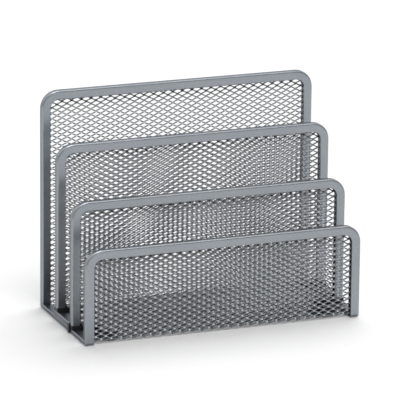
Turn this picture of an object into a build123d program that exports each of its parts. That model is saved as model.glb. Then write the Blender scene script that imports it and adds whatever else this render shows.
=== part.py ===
import os
from math import hypot

from build123d import *

os.makedirs("parts", exist_ok=True)

# Overall sizes in millimetres, with heights from the underside of the base rails
holder_width = 170.0
holder_depth = 81.0
back_height = 131.0
rear_divider_height = 105.5
front_divider_height = 78.0
front_height = 56.0

# Front faces of the dividers behind the front face of the holder
front_divider_setback = 24.0
rear_divider_setback = 50.0

# Folded steel strip that edges the panels
rim_face = 5.5
rim_depth = 4.2
rim_sheet = 0.7
rim_corner_radius = 10.5
rim_outer_edge_radius = 1.2
rim_inner_edge_radius = 0.5

# Base rails, where the strip is folded flat on the mesh and rounded up to the front and the back
rail_height = 2.5
rail_toe_radius = 2.0
rail_edge_radius = 0.6

# Strips on the base rails that tie the feet of the two dividers together
tie_height = 3.0

# Expanded metal sheet with diamond openings
mesh_sheet = 0.8
mesh_long_pitch = 15.2
mesh_short_pitch = 8.6
mesh_strand = 1.7
mesh_border = 0.8
mesh_edge_gap = 0.4
mesh_slot_gap = 0.1
mesh_bend_inner_radius = 1.2

# Black shoes that seat the divider legs, with an ear down the outer side of each base rail
shoe_length = 16.5
shoe_lip = 0.7
shoe_wall = 0.8
shoe_floor = 2.1
shoe_bar_step = 0.2
shoe_stop_rise = 1.2
shoe_gap = 0.1
shoe_edge_radius = 0.3
ear_lift = 0.1
ear_rise = 0.7
ear_setback = 0.3

# Round rubber feet under the base mesh
foot_diameter = 16.0
foot_drop = 0.4
foot_side_inset = 17.0
foot_end_inset = 14.5
foot_edge_radius = 0.3

# Every cut runs past the face that it opens by this much
overrun = 1.0

# Levels of the base
rail_bottom = foot_drop
rail_top = rail_bottom + rail_height
tie_top = rail_top + tie_height
base_middle = rail_bottom + rail_height / 2
mesh_under = base_middle - mesh_sheet / 2
mesh_top = base_middle + mesh_sheet / 2
bend_radius = mesh_bend_inner_radius + mesh_sheet / 2
bend_top = base_middle + bend_radius
front_divider_seat = rail_top + shoe_floor
rear_divider_seat = tie_top + shoe_floor

# Middle planes of the panels along the depth, and the centre line of the strip
front_middle = rim_depth / 2 - holder_depth / 2
back_middle = holder_depth / 2 - rim_depth / 2
front_divider_middle = front_middle + front_divider_setback
rear_divider_middle = front_middle + rear_divider_setback
rim_line = holder_width / 2 - rim_face / 2
rim_turn = rim_corner_radius - rim_face / 2

# Outline of the mesh inside the strip
mesh_inset = rim_sheet + mesh_edge_gap
mesh_half_width = holder_width / 2 - mesh_inset
mesh_corner_radius = rim_corner_radius - mesh_inset
mesh_slot = mesh_sheet + 2 * mesh_slot_gap

# Diamond opening that leaves a strand on every side of its cell
cell_half_long = mesh_long_pitch / 2
cell_half_short = mesh_short_pitch / 2
cell_reach = cell_half_long * cell_half_short / hypot(cell_half_long, cell_half_short)
opening_share = 1 - mesh_strand / 2 / cell_reach
opening_half_long = cell_half_long * opening_share
opening_half_short = cell_half_short * opening_share

# Places of the shoe's parts, measured inwards from the outer side of the rail
shoe_half_depth = rim_depth / 2 + shoe_lip
ear_outside = -shoe_gap - shoe_wall
shoe_stop = rim_face + shoe_gap
shoe_stop_end = shoe_stop + shoe_wall
shoe_bar_top = shoe_floor - shoe_bar_step
shoe_bar_drop = rail_top - mesh_top
divider_notch = holder_width / 2 - shoe_length - mesh_edge_gap

# Directions of the strip's outer side on the left and the right of the holder
LEFT = (-1, 0, 0)
RIGHT = (1, 0, 0)


def strip_section(section):
    """Draws the folded strip: a hollow bar, split on its inner side to grip the mesh."""
    Rectangle(rim_face, rim_depth)
    fillet(section.vertices().group_by(Axis.X)[-1], rim_outer_edge_radius)
    fillet(section.vertices().group_by(Axis.X)[0], rim_inner_edge_radius)
    offset(amount=-rim_sheet, mode=Mode.SUBTRACT)
    with Locations((-rim_face / 2, 0)):
        Rectangle(2 * mesh_inset, mesh_slot, mode=Mode.SUBTRACT)


def rim_path(foot, height):
    """Draws a panel's strip along its centre: up one leg, over the top and down the other."""
    top = rail_bottom + height - rim_face / 2
    FilletPolyline((-rim_line, foot), (-rim_line, top), (rim_line, top), (rim_line, foot), radius=rim_turn)


def sheet_plane(middle):
    """Plane of the rear side of a panel's mesh, facing forward."""
    return Plane.XZ.offset(-middle - mesh_sheet / 2)


def panel_top(height):
    """Level of the upper edge of a panel's mesh."""
    return rail_bottom + height - mesh_inset


def panel_outline(sheet, outline):
    """Draws a panel's mesh from the points of its lower edge, and rounds its two top corners."""
    Polygon(*outline)
    fillet(sheet.vertices().group_by(Axis.Y)[-1], mesh_corner_radius)


def divider_outline(seat, height):
    """Points of a divider's mesh, which reaches the base between its shoes and stops above them."""
    low = mesh_top + mesh_slot_gap
    step = seat + mesh_slot_gap
    return [
        (-divider_notch, step),
        (-divider_notch, low),
        (divider_notch, low),
        (divider_notch, step),
        (mesh_half_width, step),
        (mesh_half_width, panel_top(height)),
        (-mesh_half_width, panel_top(height)),
        (-mesh_half_width, step),
    ]


def diamonds(sheet, low, high, corner_radius):
    """Opens the whole diamonds between two levels of a sheet, clear of its border and round corners."""
    columns = int(mesh_half_width / cell_half_long)
    rows = int((high - low) / cell_half_short)
    turn_x = mesh_half_width - corner_radius
    turn_z = high - corner_radius
    openings = []
    for row in range(1, rows + 1):
        for column in range(-columns, columns + 1):
            x = column * cell_half_long
            z = low + row * cell_half_short
            side = abs(x) + opening_half_long
            top = z + opening_half_short
            in_sheet = side <= mesh_half_width - mesh_border and top <= high - mesh_border
            reach = max(
                hypot(max(side - turn_x, 0), max(z - turn_z, 0)),
                hypot(max(abs(x) - turn_x, 0), max(top - turn_z, 0)),
            )
            in_corner = corner_radius == 0 or reach <= corner_radius - mesh_border
            if (row + column) % 2 == 0 and in_sheet and in_corner:
                tips = [
                    (x - opening_half_long, z),
                    (x, z - opening_half_short),
                    (x + opening_half_long, z),
                    (x, z + opening_half_short),
                ]
                openings.append(Wire.make_polygon(tips, close=True))
    add(Face(sheet.sketch_local.face().outer_wire(), openings), mode=Mode.REPLACE)


def write(piece, name):
    """Labels a finished piece and writes it."""
    piece.part.label = name
    export_step(piece.part, f"parts/{name}.step")


# Back panel: its mesh bends forward into the base
with BuildPart() as back_mesh:
    with BuildSketch(sheet_plane(back_middle)) as back_sheet:
        panel_outline(
            back_sheet,
            [
                (-mesh_half_width, bend_top),
                (mesh_half_width, bend_top),
                (mesh_half_width, panel_top(back_height)),
                (-mesh_half_width, panel_top(back_height)),
            ],
        )
        diamonds(back_sheet, bend_top, panel_top(back_height), mesh_corner_radius)
    extrude(amount=mesh_sheet)
    with BuildSketch(Plane.XY.offset(bend_top)):
        with Locations((0, back_middle)):
            Rectangle(2 * mesh_half_width, mesh_sheet)
    revolve(axis=Axis((0, back_middle - bend_radius, bend_top), LEFT), revolution_arc=90)
write(back_mesh, "back_mesh")

with BuildPart() as back_rim:
    with BuildLine(Plane.XZ.offset(-back_middle)) as back_path:
        rim_path(rail_top, back_height)
    with BuildSketch(Plane(back_path.line @ 0, LEFT, back_path.line % 0)) as back_section:
        strip_section(back_section)
    sweep(path=back_path.line)
write(back_rim, "back_rim")

# Front panel: its mesh bends backward into the base
with BuildPart() as front_mesh:
    with BuildSketch(sheet_plane(front_middle)) as front_sheet:
        panel_outline(
            front_sheet,
            [
                (-mesh_half_width, bend_top),
                (mesh_half_width, bend_top),
                (mesh_half_width, panel_top(front_height)),
                (-mesh_half_width, panel_top(front_height)),
            ],
        )
        diamonds(front_sheet, bend_top, panel_top(front_height), mesh_corner_radius)
    extrude(amount=mesh_sheet)
    with BuildSketch(Plane.XY.offset(bend_top)):
        with Locations((0, front_middle)):
            Rectangle(2 * mesh_half_width, mesh_sheet)
    revolve(axis=Axis((0, front_middle + bend_radius, bend_top), RIGHT), revolution_arc=90)
write(front_mesh, "front_mesh")

with BuildPart() as front_rim:
    with BuildLine(Plane.XZ.offset(-front_middle)) as front_path:
        rim_path(rail_top, front_height)
    with BuildSketch(Plane(front_path.line @ 0, LEFT, front_path.line % 0)) as front_section:
        strip_section(front_section)
    sweep(path=front_path.line)
write(front_rim, "front_rim")

# Base: a flat mesh between two rails
base_half_depth = back_middle - bend_radius
with BuildPart() as base_mesh:
    with BuildSketch(Plane.XY.offset(mesh_under)) as base_sheet:
        Rectangle(2 * mesh_half_width, 2 * base_half_depth)
        diamonds(base_sheet, -base_half_depth, base_half_depth, 0)
    extrude(amount=mesh_sheet)
write(base_mesh, "base_mesh")

# Rails: the mesh lies in a slot along each rail and turns up through a notch under each leg
rail_slot_end = back_middle + mesh_slot / 2
for name, outwards in {"left_base_rail": LEFT, "right_base_rail": RIGHT}.items():
    line = outwards[0] * rim_line
    slot = Plane((line, 0, rail_bottom + rim_sheet), outwards)
    with BuildPart() as rail:
        with BuildSketch(Plane((line, -holder_depth / 2, base_middle), outwards, (0, 1, 0))) as section:
            Rectangle(rim_face, rail_height)
            fillet(section.vertices().group_by(Axis.X)[-1], rail_edge_radius)
        extrude(amount=holder_depth)
        with BuildSketch(Plane.YZ) as profile:
            with Locations((0, base_middle)):
                Rectangle(holder_depth, rail_height)
            fillet(profile.vertices().group_by(Axis.Y)[0], rail_toe_radius)
        extrude(amount=holder_width, both=True, mode=Mode.INTERSECT)
        with BuildSketch(Plane((line, 0, 0), outwards)) as plan:
            Rectangle(rim_face, holder_depth)
            fillet(plan.vertices().group_by(Axis.X)[-1], rim_outer_edge_radius)
        extrude(amount=holder_width, mode=Mode.INTERSECT)
        with BuildSketch(slot):
            with Locations((-rim_sheet, 0)):
                Rectangle(rim_face, 2 * rail_slot_end)
        extrude(amount=rail_height - 2 * rim_sheet, mode=Mode.SUBTRACT)
        with BuildSketch(slot):
            with Locations((-rim_sheet, rail_slot_end), (-rim_sheet, -rail_slot_end)):
                Rectangle(rim_face, 2 * (bend_radius + mesh_slot))
            Rectangle(2 * rim_face, 2 * rail_slot_end, mode=Mode.INTERSECT)
        extrude(amount=rail_height, mode=Mode.SUBTRACT)
    write(rail, name)

# Dividers: two lower panels that stand on shoes
with BuildPart() as rear_divider_mesh:
    with BuildSketch(sheet_plane(rear_divider_middle)) as rear_sheet:
        panel_outline(rear_sheet, divider_outline(rear_divider_seat, rear_divider_height))
        diamonds(rear_sheet, rear_divider_seat, panel_top(rear_divider_height), mesh_corner_radius)
    extrude(amount=mesh_sheet)
write(rear_divider_mesh, "rear_divider_mesh")

with BuildPart() as rear_divider_rim:
    with BuildLine(Plane.XZ.offset(-rear_divider_middle)) as rear_path:
        rim_path(rear_divider_seat, rear_divider_height)
    with BuildSketch(Plane(rear_path.line @ 0, LEFT, rear_path.line % 0)) as rear_section:
        strip_section(rear_section)
    sweep(path=rear_path.line)
write(rear_divider_rim, "rear_divider_rim")

with BuildPart() as front_divider_mesh:
    with BuildSketch(sheet_plane(front_divider_middle)) as low_sheet:
        panel_outline(low_sheet, divider_outline(front_divider_seat, front_divider_height))
        diamonds(low_sheet, front_divider_seat, panel_top(front_divider_height), mesh_corner_radius)
    extrude(amount=mesh_sheet)
write(front_divider_mesh, "front_divider_mesh")

with BuildPart() as front_divider_rim:
    with BuildLine(Plane.XZ.offset(-front_divider_middle)) as low_path:
        rim_path(front_divider_seat, front_divider_height)
    with BuildSketch(Plane(low_path.line @ 0, LEFT, low_path.line % 0)) as low_section:
        strip_section(low_section)
    sweep(path=low_path.line)
write(front_divider_rim, "front_divider_rim")

# Ties: folded strips on the rails, from behind the front divider's shoes to under the rear divider's
tie_front = front_divider_middle + shoe_half_depth + shoe_gap
tie_rear = rear_divider_middle + shoe_half_depth
for name, outwards in {"left_divider_tie": LEFT, "right_divider_tie": RIGHT}.items():
    with BuildPart() as tie:
        with BuildSketch(Plane((outwards[0] * rim_line, tie_front, rail_top), LEFT, (0, 1, 0))) as fold:
            Rectangle(rim_face, tie_height, align=(Align.CENTER, Align.MIN))
            fillet(fold.vertices().group_by(Axis.Y)[-1], rail_edge_radius)
            hollow = (rim_face - 2 * rim_sheet, tie_height - rim_sheet)
            Rectangle(*hollow, align=(Align.CENTER, Align.MIN), mode=Mode.SUBTRACT)
        extrude(amount=tie_rear - tie_front)
    write(tie, name)

# Shoes: each carries the foot of a divider leg, with a stop inside the leg and a bar under the mesh
shoe_outline = [
    (0, 0),
    (shoe_stop, 0),
    (shoe_stop, -shoe_bar_drop),
    (shoe_length, -shoe_bar_drop),
    (shoe_length, shoe_bar_top),
    (shoe_stop_end, shoe_bar_top),
    (shoe_stop_end, shoe_floor + shoe_stop_rise),
    (shoe_stop, shoe_floor + shoe_stop_rise),
    (shoe_stop, shoe_floor),
    (0, shoe_floor),
]
ear_outline = [
    (ear_outside, ear_lift - rail_height),
    (-shoe_gap, ear_lift - rail_height),
    (-shoe_gap, 0),
    (shoe_wall, 0),
    (shoe_wall, shoe_floor),
    (-shoe_gap, shoe_floor),
    (-shoe_gap, shoe_floor + ear_rise),
    (ear_outside, shoe_floor + ear_rise),
]
shoe_places = {
    "rear_divider_left_shoe": (RIGHT, -holder_width / 2, rear_divider_middle, tie_top, False),
    "rear_divider_right_shoe": (LEFT, holder_width / 2, rear_divider_middle, tie_top, False),
    "front_divider_left_shoe": (RIGHT, -holder_width / 2, front_divider_middle, rail_top, True),
    "front_divider_right_shoe": (LEFT, holder_width / 2, front_divider_middle, rail_top, True),
}
for name, (inwards, side, middle, stand, eared) in shoe_places.items():
    facing = Plane((side, middle, stand), inwards, (0, -inwards[0], 0))
    rear = Plane((side, middle + shoe_half_depth, stand), inwards, (0, -inwards[0], 0))
    with BuildPart() as shoe:
        with BuildSketch(facing):
            Polygon(*shoe_outline)
        extrude(amount=shoe_half_depth, both=True)
        if eared:
            with BuildSketch(rear):
                Polygon(*ear_outline)
            extrude(amount=inwards[0] * (shoe_half_depth - ear_setback))
        fillet(shoe.edges().filter_by(Axis.X).group_by(Axis.Z)[-1], shoe_edge_radius)
        with BuildSketch(Plane((side, middle, stand + shoe_floor), inwards)):
            with Locations((shoe_stop_end, 0)):
                Rectangle(2 * (shoe_wall + shoe_gap), mesh_slot)
        extrude(amount=shoe_stop_rise + overrun, mode=Mode.SUBTRACT)
    write(shoe, name)

# Feet: round pads stuck under the base mesh near its corners
foot_x = holder_width / 2 - foot_side_inset
foot_y = holder_depth / 2 - foot_end_inset
foot_places = {
    "rear_left_foot": (-foot_x, foot_y),
    "rear_right_foot": (foot_x, foot_y),
    "front_left_foot": (-foot_x, -foot_y),
    "front_right_foot": (foot_x, -foot_y),
}
for name, place in foot_places.items():
    with BuildPart() as foot:
        with BuildSketch():
            with Locations(place):
                Circle(foot_diameter / 2)
        extrude(amount=mesh_under)
        fillet(foot.edges().group_by(Axis.Z)[0], foot_edge_radius)
    write(foot, name)
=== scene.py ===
"""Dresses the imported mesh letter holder: expanded-metal sheets, finishes, studio and camera."""
import logging
import math
from dataclasses import dataclass
from enum import Enum
from typing import Any, Callable, Iterable, Union

import bmesh
import bpy
from mathutils import Matrix, Vector


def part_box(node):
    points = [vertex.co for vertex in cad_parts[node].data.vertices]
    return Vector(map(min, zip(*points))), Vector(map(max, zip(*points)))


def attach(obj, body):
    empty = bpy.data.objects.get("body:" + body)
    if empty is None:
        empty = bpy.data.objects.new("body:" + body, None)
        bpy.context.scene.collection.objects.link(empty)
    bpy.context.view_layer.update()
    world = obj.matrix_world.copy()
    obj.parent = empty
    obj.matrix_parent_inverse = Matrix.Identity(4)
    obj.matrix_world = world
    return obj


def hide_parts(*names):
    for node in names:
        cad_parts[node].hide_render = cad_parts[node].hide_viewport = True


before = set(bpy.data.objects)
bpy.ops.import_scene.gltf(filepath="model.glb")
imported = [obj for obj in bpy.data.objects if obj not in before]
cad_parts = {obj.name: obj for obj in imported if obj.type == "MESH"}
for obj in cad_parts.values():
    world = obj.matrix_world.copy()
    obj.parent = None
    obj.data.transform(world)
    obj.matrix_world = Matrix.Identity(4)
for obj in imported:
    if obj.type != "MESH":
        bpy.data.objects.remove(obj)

LOG = logging.getLogger("letter_holder")
MM = 0.001
Colour = tuple[float, float, float]
Cut = tuple[Vector, Vector]
Number = Union["Value", float]


class Operation(Enum):
    """The Math node operations that the finishes use."""

    ADD = "ADD"
    SUBTRACT = "SUBTRACT"
    MULTIPLY = "MULTIPLY"


class Run(Enum):
    """The stretches of the bent body sheet, in the order in which it is laid."""

    BACK = "back"
    BASE = "base"
    FRONT = "front"


class Value:
    """A shader socket that takes part in arithmetic; each operation adds one Math node."""

    def __init__(self, graph: "Graph", socket: bpy.types.NodeSocket) -> None:
        """Wraps one output socket of a graph."""
        self.graph = graph
        self.socket = socket

    def _math(self, operation: Operation, first: Number, second: Number) -> "Value":
        """Returns the result of a Math node on two operands, the left one first."""
        return self.graph.node("ShaderNodeMath", {"operation": operation.value}, {0: first, 1: second})

    def __add__(self, other: Number) -> "Value":
        """Returns self + other."""
        return self._math(Operation.ADD, self, other)

    def __radd__(self, other: Number) -> "Value":
        """Returns other + self."""
        return self._math(Operation.ADD, other, self)

    def __sub__(self, other: Number) -> "Value":
        """Returns self - other."""
        return self._math(Operation.SUBTRACT, self, other)

    def __rsub__(self, other: Number) -> "Value":
        """Returns other - self."""
        return self._math(Operation.SUBTRACT, other, self)

    def __mul__(self, other: Number) -> "Value":
        """Returns self * other."""
        return self._math(Operation.MULTIPLY, self, other)

    def __rmul__(self, other: Number) -> "Value":
        """Returns other * self."""
        return self._math(Operation.MULTIPLY, other, self)


class Graph:
    """One shader node tree, with a single way to add a node."""

    def __init__(self, tree: bpy.types.NodeTree) -> None:
        """Empties the tree and takes it over."""
        self.tree = tree
        self.tree.nodes.clear()

    @classmethod
    def of_material(cls, name: str) -> tuple[bpy.types.Material, "Graph"]:
        """Makes a new material.

        Args:
            name: The material's name.

        Returns:
            The material and the graph of its nodes.
        """
        material = bpy.data.materials.new(name)
        material.use_nodes = True
        return material, cls(material.node_tree)

    def node(
        self,
        kind: str,
        settings: dict[str, Any] | None = None,
        sockets: dict[str | int, Any] | None = None,
        output: str | int = 0,
    ) -> Value:
        """Adds one node.

        Args:
            kind: Blender's name of the node type.
            settings: The node's own properties, set before its sockets.
            sockets: A value or a link for each named or numbered input.
            output: The output that is handed back.

        Returns:
            The chosen output.
        """
        node = self.tree.nodes.new(kind)
        for key, value in (settings or {}).items():
            setattr(node, key, value)
        for key, value in (sockets or {}).items():
            if isinstance(value, Value):
                self.tree.links.new(value.socket, node.inputs[key])
            else:
                node.inputs[key].default_value = value
        return Value(self, node.outputs[output] if node.outputs else None)

    def place(self) -> Value:
        """Returns the place on the piece, in metres."""
        return self.node("ShaderNodeTexCoord", output="Object")

    def noise(self, size: float, detail: float) -> Value:
        """Returns a noise from 0 to 1, with blots of a size in metres and so many finer layers."""
        sockets = {"Vector": self.place(), "Scale": 1 / size, "Detail": detail}
        return self.node("ShaderNodeTexNoise", sockets=sockets)

    def flakes(self, size: float) -> Value:
        """Adds small cells of random brightness.

        Args:
            size: The size of one cell, in metres.

        Returns:
            Each cell's own value, from 0 to 1.
        """
        sockets = {"Vector": self.place(), "Scale": 1 / size}
        cells = self.node("ShaderNodeTexVoronoi", sockets=sockets, output="Color")
        return self.node("ShaderNodeSeparateColor", sockets={0: cells})

    def ease(self, value: Number, low: float, high: float) -> Value:
        """Returns a value mapped smoothly to 0 at low and 1 at high."""
        settings = {"interpolation_type": "SMOOTHSTEP"}
        return self.node("ShaderNodeMapRange", settings, {"Value": value, "From Min": low, "From Max": high})

    def mix(self, factor: Number, first: Colour, second: Colour) -> Value:
        """Returns the mix of two colours, the first at factor 0 and the second at 1."""
        sockets = {0: factor, 6: (*first, 1.0), 7: (*second, 1.0)}
        return self.node("ShaderNodeMix", {"data_type": "RGBA"}, sockets, 2)

    def bump(self, height: Number, depth: float) -> Value:
        """Returns the normal of a height, of which 1 stands for a depth in metres."""
        return self.node("ShaderNodeBump", sockets={"Distance": depth, "Height": height})

    def surface(self, **sockets: Any) -> None:
        """Ends the graph in a Principled shader.

        Args:
            **sockets: The shader's inputs, with the spaces in their names written as underscores.
        """
        inputs = {key.replace("_", " "): value for key, value in sockets.items()}
        shader = self.node("ShaderNodeBsdfPrincipled", sockets=inputs)
        self.node("ShaderNodeOutputMaterial", sockets={"Surface": shader})


@dataclass(frozen=True)
class PowderCoat:
    """A silver-grey metallic powder coat with fine flakes and a faint orange peel."""

    name: str
    light: Colour = (0.400, 0.428, 0.460)
    dark: Colour = (0.320, 0.346, 0.376)
    shade_range: tuple[float, float] = (0.25, 0.75)
    metallic: float = 1.0
    edge_tint: float = 0.4
    grain: float = 0.45 * MM
    grain_shade: float = 0.45
    flake: float = 0.36 * MM
    flake_shade: float = 0.25
    cloud: float = 14.0 * MM
    cloud_shade: float = 0.30
    least_roughness: float = 0.27
    flake_roughness: float = 0.06
    cloud_roughness: float = 0.04
    peel: float = 1.4 * MM
    peel_depth: float = 0.014 * MM
    peel_rise: float = 0.7
    grain_rise: float = 0.3

    def material(self) -> bpy.types.Material:
        """Mixes the coat.

        Returns:
            The coat as a material.
        """
        material, graph = Graph.of_material(self.name)
        grain = graph.noise(self.grain, detail=1.0)
        flakes = graph.flakes(self.flake)
        cloud = graph.noise(self.cloud, detail=3.0)
        shade = grain * self.grain_shade + flakes * self.flake_shade + cloud * self.cloud_shade
        height = graph.noise(self.peel, detail=1.0) * self.peel_rise + grain * self.grain_rise
        graph.surface(
            Base_Color=graph.mix(graph.ease(shade, *self.shade_range), self.dark, self.light),
            Metallic=self.metallic,
            Specular_Tint=(self.edge_tint,) * 3 + (1.0,),
            Roughness=self.least_roughness + flakes * self.flake_roughness + cloud * self.cloud_roughness,
            Normal=graph.bump(height, self.peel_depth),
        )
        return material


@dataclass(frozen=True)
class Moulding:
    """A black moulded plastic or rubber with a fine matt grain; on the shoes its black is partly painted
    shade, standing in for the dark gap under each divider leg.
    """

    name: str
    light: Colour
    dark: Colour
    least_roughness: float
    grain: float
    depth: float
    grain_shade: float = 0.5
    grain_roughness: float = 0.12
    cloud: float = 5.0 * MM
    cloud_shade: float = 0.5
    shade_range: tuple[float, float] = (0.3, 0.7)

    def material(self) -> bpy.types.Material:
        """Mixes the plastic or rubber.

        Returns:
            The moulding as a material.
        """
        material, graph = Graph.of_material(self.name)
        grain = graph.noise(self.grain, detail=3.0)
        cloud = graph.noise(self.cloud, detail=2.0)
        shade = graph.ease(grain * self.grain_shade + cloud * self.cloud_shade, *self.shade_range)
        graph.surface(
            Base_Color=graph.mix(shade, self.dark, self.light),
            Roughness=self.least_roughness + grain * self.grain_roughness,
            Normal=graph.bump(grain, self.depth),
        )
        return material


@dataclass(frozen=True)
class RowLay:
    """How the rows of openings lie on a sheet: a little askew and shifted, as the sheet was cut."""

    climb: float
    across: float = 0.0
    along: float = 0.0
    level_from: float = math.inf
    fade: float = 40.0 * MM

    def settle(self, middle: Vector) -> Vector:
        """Moves an opening to its place; the climb fades out before the rows that run level.

        Args:
            middle: The opening's middle in rows that run straight across.

        Returns:
            Its middle on the sheet.
        """
        share = min(1.0, max(0.0, (self.level_from - middle.y) / self.fade))
        return middle + Vector((self.across, self.along + middle.x * self.climb * share, 0))


@dataclass
class ExpandedMetal:
    """Slit and stretched sheet: leaning strands round diamond openings, in a flat frame.

    The flat frame's X runs along the long way of the diamonds, Y along the sheet and Z out of it.
    """

    long_pitch: float = 6.0 * MM
    short_pitch: float = 3.33 * MM
    strand: float = 0.70 * MM
    sheet: float = 0.36 * MM
    crown_lean: float = -0.52 * MM
    side_lean: float = 0.15 * MM
    edge_round: float = 0.04 * MM
    end_round: float = 0.064 * MM
    side_flat_share: float = 0.08
    crown_flat_share: float = 0.11
    crease: float = math.radians(22)
    cut_touch: float = 0.0001 * MM

    def __post_init__(self) -> None:
        """Works out one opening's corners, counted from the right end upwards."""
        across, along = self.long_pitch / 2, self.short_pitch / 2
        reach = across * along / math.hypot(across, along)
        self.half_long = across * (1 - self.strand / 2 / reach)
        self.half_short = along * (1 - self.strand / 2 / reach)
        side, crown = self.side_flat_share, self.crown_flat_share
        quarter = [(1 - side, side), (crown, 1 - crown)]
        ring = quarter + [(-x, y) for x, y in reversed(quarter)]
        self.ring = ring + [(-x, -y) for x, y in ring]

    def opening(self, column: int, row: int, lay: RowLay) -> list[Vector]:
        """Gives the corners round one opening.

        Args:
            column: The opening's place across, in half pitches.
            row: The opening's place along, in half pitches.
            lay: How the rows lie.

        Returns:
            A ring of corners on the top face, one at the middle and one on the under face.
        """
        centre = lay.settle(Vector((column * self.long_pitch / 2, row * self.short_pitch / 2, 0)))
        corners = []
        for level in (1, 0, -1):
            half_long = self.half_long + abs(level) * self.end_round
            half_short = self.half_short + abs(level) * self.edge_round
            for x, y in self.ring:
                lean = self.crown_lean if abs(y) > abs(x) else self.side_lean
                rise = level * self.sheet / 2 + lean * math.copysign(1, y)
                corners.append(centre + Vector((x * half_long, y * half_short, rise)))
        return corners

    def weave(self, columns: range, rows: range, lay: RowLay) -> bmesh.types.BMesh:
        """Lays the openings of a stretch of sheet and the strands between them.

        Args:
            columns: The places across that are covered.
            rows: The places along that are covered.
            lay: How the rows lie.

        Returns:
            The stretch in the flat frame, untrimmed.
        """
        net = bmesh.new()
        count = len(self.ring)
        laid: dict[tuple[int, int], list[bmesh.types.BMVert]] = {}

        def corners(column: int, row: int) -> list[bmesh.types.BMVert]:
            """Gives an opening's corners, which are laid when first asked for.

            Args:
                column: The opening's place across.
                row: The opening's place along.

            Returns:
                The corners, ring by ring.
            """
            if (column, row) not in laid:
                laid[column, row] = [net.verts.new(place) for place in self.opening(column, row, lay)]
            return laid[column, row]

        for row in rows:
            for column in columns:
                if (column + row) % 2:
                    continue
                mine = corners(column, row)
                above, below = corners(column + 1, row + 1), corners(column + 1, row - 1)
                beyond = corners(column + 2, row)
                for upper, lower in ((0, count), (count, 2 * count)):
                    for corner in range(count):
                        after = (corner + 1) % count
                        net.faces.new((mine[upper + corner], mine[upper + after],
                                       mine[lower + after], mine[lower + corner]))
                for face, turn in ((0, 1), (2 * count, -1)):
                    patches = (
                        (mine[face + 1], mine[face], above[face + 5], above[face + 4]),
                        (mine[face + 7], mine[face + 6], below[face + 3], below[face + 2]),
                        (mine[face], mine[face + 7], below[face + 2], above[face + 5]),
                        (above[face + 5], below[face + 2], below[face + 1], above[face + 6]),
                        (above[face + 6], below[face + 1], beyond[face + 4], beyond[face + 3]),
                    )
                    for patch in patches:
                        net.faces.new(patch[::turn])
        return net

    def trim(self, net: bmesh.types.BMesh, cuts: Iterable[Cut]) -> None:
        """Shears the sheet off along straight lines and closes the cut strands.

        Args:
            net: The sheet in the flat frame.
            cuts: A point on each line and the way out of the sheet there.
        """
        for point, outward in cuts:
            every = net.verts[:] + net.edges[:] + net.faces[:]
            done = bmesh.ops.bisect_plane(
                net, geom=every, dist=self.cut_touch, plane_co=point, plane_no=outward, clear_outer=True)
            edges = [part for part in done["geom_cut"] if isinstance(part, bmesh.types.BMEdge)]
            bmesh.ops.edgeloop_fill(net, edges=[edge for edge in edges if edge.is_boundary])

    def piece(
        self,
        name: str,
        nets: list[bmesh.types.BMesh],
        form: Callable[[Vector], Vector],
        finish: bpy.types.Material,
    ) -> bpy.types.Object:
        """Brings flat stretches of sheet to their place and makes them one object.

        Args:
            name: The piece's name.
            nets: The trimmed stretches in the flat frame.
            form: Where a point of the flat frame goes on the holder.
            finish: The coat.

        Returns:
            The new object.
        """
        mesh = bpy.data.meshes.new(name)
        whole = bmesh.new()
        for net in nets:
            net.to_mesh(mesh)
            net.free()
            whole.from_mesh(mesh)
        for vertex in whole.verts:
            vertex.co = form(vertex.co)
        loose = [vertex for vertex in whole.verts if not vertex.link_faces]
        bmesh.ops.delete(whole, geom=loose, context="VERTS")
        whole.to_mesh(mesh)
        whole.free()
        mesh.shade_smooth()
        mesh.set_sharp_from_angle(angle=self.crease)
        mesh.materials.append(finish)
        piece = bpy.data.objects.new(name, mesh)
        bpy.context.scene.collection.objects.link(piece)
        return piece


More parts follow.
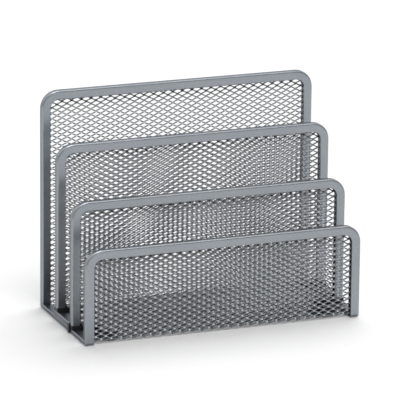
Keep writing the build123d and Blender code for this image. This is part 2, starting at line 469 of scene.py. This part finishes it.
@dataclass
class Sheets:
    """The five expanded-metal sheets, which lie in the rims' slots."""

    coat: PowderCoat
    metal: ExpandedMetal
    half_width: float = 83.9 * MM
    corner_radius: float = 9.4 * MM
    corner_cut: float = 7.5 * MM
    bend_radius: float = 1.6 * MM
    notch: float = 68.1 * MM
    foot_gap: float = 0.1 * MM
    spare: float = 6.0 * MM
    hair: float = 0.016 * MM
    body_climb: float = 0.026
    body_start: float = -1.0 * MM
    rear_lay: RowLay = RowLay(-0.0105, 2.46 * MM, 0.19 * MM)
    front_lay: RowLay = RowLay(0.020)

    def __post_init__(self) -> None:
        """Reads the sheets' places from the solids that they stand for."""
        self.back_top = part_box("back_mesh")[1][2]
        self.front_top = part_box("front_mesh")[1][2]
        base_low, base_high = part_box("base_mesh")
        self.base_half = base_high[1]
        self.base_level = (base_low[2] + base_high[2]) / 2
        self.bend_level = self.base_level + self.bend_radius
        self.wall = self.base_half + self.bend_radius
        self.arc = self.bend_radius * math.pi / 2
        self.back_run = self.back_top - self.bend_level
        self.front_run = self.front_top - self.bend_level
        self.base_start = self.back_run + self.arc
        self.base_end = self.base_start + 2 * self.base_half
        self.length = self.base_end + self.arc + self.front_run
        self.body_lay = RowLay(self.body_climb, along=self.body_start, level_from=self.back_run)

    def bent(self, flat: Vector) -> Vector:
        """Bends the body sheet down the back, along the base and up the front.

        Args:
            flat: A point of the flat frame, measured from the back's top edge.

        Returns:
            Its place on the holder.
        """
        way, out = flat.y, flat.z
        if way <= self.back_run:
            return Vector((-flat.x, self.wall - out, self.back_top - way))
        if way >= self.base_end + self.arc:
            return Vector((-flat.x, out - self.wall, self.front_top - (self.length - way)))
        if self.base_start <= way <= self.base_end:
            return Vector((-flat.x, self.base_half - (way - self.base_start), self.base_level + out))
        at_back = way < self.base_start
        turn = (way - self.back_run if at_back else self.base_end + self.arc - way) / self.bend_radius
        reach = self.bend_radius - out
        side = 1 if at_back else -1
        return Vector((-flat.x, side * (self.base_half + reach * math.cos(turn)),
                       self.bend_level - reach * math.sin(turn)))

    def rows(self, low: float, high: float) -> range:
        """Returns the half-pitch rows whose middles lie from low to high along the sheet."""
        step = self.metal.short_pitch / 2
        return range(math.ceil(low / step), math.floor(high / step) + 1)

    def columns(self, half_width: float) -> range:
        """Returns the half-pitch columns that reach past both side edges."""
        reach = math.ceil((half_width + self.spare) / (self.metal.long_pitch / 2))
        return range(-reach, reach + 1)

    @staticmethod
    def side_cuts(half_width: float) -> list[Cut]:
        """Returns the cuts along the two side edges."""
        return [(Vector((side * half_width, 0, 0)), Vector((side, 0, 0))) for side in (-1, 1)]

    @staticmethod
    def cross_cut(end: float, way: int) -> Cut:
        """Returns the cut straight across, with way 1 where the sheet ends there and -1 where it starts."""
        return Vector((0, end, 0)), Vector((0, way, 0))

    def end_cuts(self, end: float, way: int) -> list[Cut]:
        """Gives the cuts at a top edge and its two rounded corners.

        Args:
            end: Where the edge lies along the sheet.
            way: 1 where the sheet ends there, -1 where it starts.

        Returns:
            The cuts.
        """
        cuts = [self.cross_cut(end, way)]
        inset = self.corner_radius
        for side in (-1, 1):
            outward = Vector((side, way, 0)).normalized()
            middle = Vector((side * (self.half_width - inset), end - way * inset, 0))
            cuts.append((middle + outward * self.corner_cut, outward))
        return cuts

    def body_sheet(self, run: Run, finish: bpy.types.Material) -> bpy.types.Object:
        """Builds one stretch of the bent body sheet.

        Args:
            run: Which stretch.
            finish: The coat.

        Returns:
            The piece.
        """
        low, high, cuts = {
            Run.BACK: (-self.spare, self.base_start, self.end_cuts(0, -1)),
            Run.BASE: (self.base_start + self.hair, self.base_end, []),
            Run.FRONT: (self.base_end + self.hair, self.length + self.spare, self.end_cuts(self.length, 1)),
        }[run]
        net = self.metal.weave(self.columns(self.half_width), self.rows(low, high), self.body_lay)
        self.metal.trim(net, cuts + self.side_cuts(self.half_width))
        piece = self.metal.piece(f"{run.value}_sheet", [net], self.bent, finish)
        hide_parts(f"{run.value}_mesh")
        return piece

    def divider_sheet(self, name: str, lay: RowLay, finish: bpy.types.Material) -> bpy.types.Object:
        """Builds the flat sheet of one divider, with its tongue down to the base between the shoes.

        Args:
            name: The divider's name in the frame.
            lay: How its rows lie.
            finish: The coat.

        Returns:
            The piece.
        """
        low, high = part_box(f"{name}_mesh")
        middle, run = (low[1] + high[1]) / 2, high[2] - low[2]
        step = high[2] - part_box(f"{name}_rim")[0][2] - self.foot_gap

        def upright(flat: Vector) -> Vector:
            """Returns where a point of the flat frame stands in the divider's plane."""
            return Vector((-flat.x, middle - flat.z, high[2] - flat.y))

        rows = self.rows(-self.spare, step + self.spare)
        net = self.metal.weave(self.columns(self.half_width), rows, lay)
        edges = self.end_cuts(0, -1) + self.side_cuts(self.half_width)
        self.metal.trim(net, edges + [self.cross_cut(step, 1)])
        rows = self.rows(step - self.spare, run + self.spare)
        tongue = self.metal.weave(self.columns(self.notch), rows, lay)
        ends = [self.cross_cut(step, -1), self.cross_cut(run, 1)]
        self.metal.trim(tongue, self.side_cuts(self.notch) + ends)
        piece = self.metal.piece(f"{name}_sheet", [net, tongue], upright, finish)
        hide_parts(f"{name}_mesh")
        return piece

    def build(self) -> list[bpy.types.Object]:
        """Builds and dresses all five sheets.

        Returns:
            The sheets.
        """
        finish = self.coat.material()
        pieces = [self.body_sheet(run, finish) for run in Run]
        pieces.append(self.divider_sheet("rear_divider", self.rear_lay, finish))
        pieces.append(self.divider_sheet("front_divider", self.front_lay, finish))
        for piece in pieces:
            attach(piece, "root")
        return pieces


@dataclass
class Frames:
    """The rims, rails, shoes and feet, which keep their solids and take a finish."""

    rim_coat: PowderCoat
    shoe_plastic_and_shade: Moulding
    foot_rubber: Moulding

    def dress(self) -> list[bpy.types.Object]:
        """Gives every kept solid its finish.

        Returns:
            The solids.
        """
        finishes = {
            ("_rim", "_rail", "_tie"): self.rim_coat.material(),
            # The shoes' black is partly painted shade for the gap under the divider legs.
            ("_shoe",): self.shoe_plastic_and_shade.material(),
            ("_foot",): self.foot_rubber.material(),
        }
        dressed = []
        for endings, material in finishes.items():
            for name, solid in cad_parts.items():
                if not name.endswith(endings):
                    continue
                if not solid.material_slots:
                    solid.data.materials.append(material)
                for slot in solid.material_slots:
                    slot.material = material
                dressed.append(solid)
        return dressed


@dataclass(frozen=True)
class Lamp:
    """A far soft lamp: its power, and its width in the sky, lean and turn in degrees.

    A lamp that isn't mirrored lights matt surfaces alone, as one behind a screen does.
    """

    name: str
    power: float
    spread: float
    tilt: float
    turn: float
    mirrored: bool = True

    def build(self) -> None:
        """Hangs the lamp."""
        light = bpy.data.lights.new(self.name, "SUN")
        light.energy = self.power
        light.angle = math.radians(self.spread)
        lamp = bpy.data.objects.new(self.name, light)
        lamp.rotation_euler = (math.radians(self.tilt), 0, math.radians(self.turn))
        lamp.visible_glossy = self.mirrored
        bpy.context.scene.collection.objects.link(lamp)


@dataclass
class Studio:
    """The pale floor, the white surround, the soft lamps and the camera."""

    floor_half: float = 6.0
    floor_light: float = 0.93
    floor_dark: float = 0.91
    floor_mottle: float = 0.4
    floor_lift: float = 0.12
    room_dim: float = 0.38
    room_bright: float = 1.0
    room_rear_share: float = 0.6
    room_fade: tuple[float, float] = (0.1, 0.8)
    room_matt_share: float = 0.31
    lamps: tuple[Lamp, ...] = (
        Lamp("rear_lamp", power=1.7, spread=50.0, tilt=32.0, turn=145.0, mirrored=False),
        Lamp("top_lamp", power=1.0, spread=30.0, tilt=26.0, turn=0.0),
    )
    sensor: float = 36.0
    focal: float = 338.49
    near: float = 0.05
    far: float = 50.0
    yaw: float = -21.27
    pitch: float = 15.92
    roll: float = 0.61
    target: tuple[float, float, float] = (-0.13 * MM, 0.0, 68.40 * MM)
    distance: float = 2192.0 * MM

    def floor(self) -> None:
        """Lays the floor: matt white, lifted a little for the camera alone."""
        material, graph = Graph.of_material("studio_floor")
        mottle = graph.noise(self.floor_mottle, detail=2.0)
        paint = graph.mix(mottle, (self.floor_dark,) * 3, (self.floor_light,) * 3)
        matt = graph.node("ShaderNodeBsdfDiffuse", sockets={"Color": paint})
        seen = graph.node("ShaderNodeLightPath", output="Is Camera Ray")
        glow = graph.node("ShaderNodeEmission", sockets={"Strength": seen * self.floor_lift})
        both = graph.node("ShaderNodeAddShader", sockets={0: matt, 1: glow})
        graph.node("ShaderNodeOutputMaterial", sockets={"Surface": both})
        half = self.floor_half
        corners = [(-half, -half, 0), (half, -half, 0), (half, half, 0), (-half, half, 0)]
        mesh = bpy.data.meshes.new("studio_floor")
        mesh.from_pydata(corners, [], [(0, 1, 2, 3)])
        mesh.materials.append(material)
        floor = bpy.data.objects.new("studio_floor", mesh)
        bpy.context.scene.collection.objects.link(floor)

    def light(self) -> None:
        """Sets the room, dim in front and bright overhead and behind, and hangs the lamps."""
        world = bpy.data.worlds.new("studio")
        bpy.context.scene.world = world
        world.use_nodes = True
        graph = Graph(world.node_tree)
        seen = graph.node("ShaderNodeLightPath", output="Is Camera Ray")
        mirrored = graph.node("ShaderNodeLightPath", output="Is Glossy Ray")
        way = graph.node("ShaderNodeTexCoord", output="Generated")
        depth = graph.node("ShaderNodeSeparateXYZ", sockets={0: way}, output="Y")
        rise = graph.node("ShaderNodeSeparateXYZ", sockets={0: way}, output="Z")
        bright = graph.ease(rise + depth * self.room_rear_share, *self.room_fade)
        room = self.room_dim + bright * (self.room_bright - self.room_dim)
        lit = room * (self.room_matt_share + mirrored * (1 - self.room_matt_share))
        strength = lit + seen * (1 - lit)
        sky = graph.node("ShaderNodeBackground", sockets={"Color": (1, 1, 1, 1), "Strength": strength})
        graph.node("ShaderNodeOutputWorld", sockets={"Surface": sky})
        for lamp in self.lamps:
            lamp.build()

    def camera(self) -> None:
        """Stands the camera where the photograph was taken from."""
        turn, rise, roll = (math.radians(angle) for angle in (self.yaw, self.pitch, self.roll))
        back = Vector((math.sin(turn) * math.cos(rise), -math.cos(turn) * math.cos(rise), math.sin(rise)))
        right = (-back).cross(Vector((0, 0, 1))).normalized()
        up = right.cross(-back)
        side = math.cos(roll) * right + math.sin(roll) * up
        head = math.cos(roll) * up - math.sin(roll) * right
        lens = bpy.data.cameras.new("camera")
        lens.sensor_width = self.sensor
        lens.lens = self.focal
        lens.clip_start, lens.clip_end = self.near, self.far
        camera = bpy.data.objects.new("camera", lens)
        place = Vector(self.target) + back * self.distance
        camera.matrix_world = Matrix.Translation(place) @ Matrix((side, head, back)).transposed().to_4x4()
        bpy.context.scene.collection.objects.link(camera)
        bpy.context.scene.camera = camera

    def build(self) -> None:
        """Sets up the whole studio."""
        self.floor()
        self.light()
        self.camera()
        bpy.context.scene.view_settings.view_transform = "Standard"


def main() -> None:
    """Builds the sheets, dresses the frames, logs each piece and sets the studio."""
    logging.basicConfig(level=logging.INFO, format="%(name)s: %(message)s")
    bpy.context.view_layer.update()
    sheets = Sheets(
        # The sheets take the rims' powder coat made darker and a little more neutral; the darkening is
        # painted shade, standing in for the shade among the stacked sheets.
        PowderCoat("sheet_coat_and_shade", light=(0.340, 0.355, 0.371), dark=(0.273, 0.287, 0.301)),
        ExpandedMetal(),
    )
    frames = Frames(
        PowderCoat("rim_coat"),
        # The shoes' near-black is partly painted shade: besides the black moulding it stands in for the dark
        # gap under each divider leg.
        Moulding(
            "shoe_plastic_and_shade", light=(0.020, 0.020, 0.022), dark=(0.011, 0.011, 0.012),
            least_roughness=0.36, grain=0.35 * MM, depth=0.01 * MM),
        Moulding(
            "foot_rubber", light=(0.030, 0.030, 0.031), dark=(0.016, 0.016, 0.017),
            least_roughness=0.66, grain=0.25 * MM, depth=0.02 * MM),
    )
    for piece in sheets.build() + frames.dress():
        LOG.info("%s: %d faces, %s", piece.name, len(piece.data.polygons), piece.data.materials[0].name)
    Studio().build()


if __name__ == "__main__":
    main()
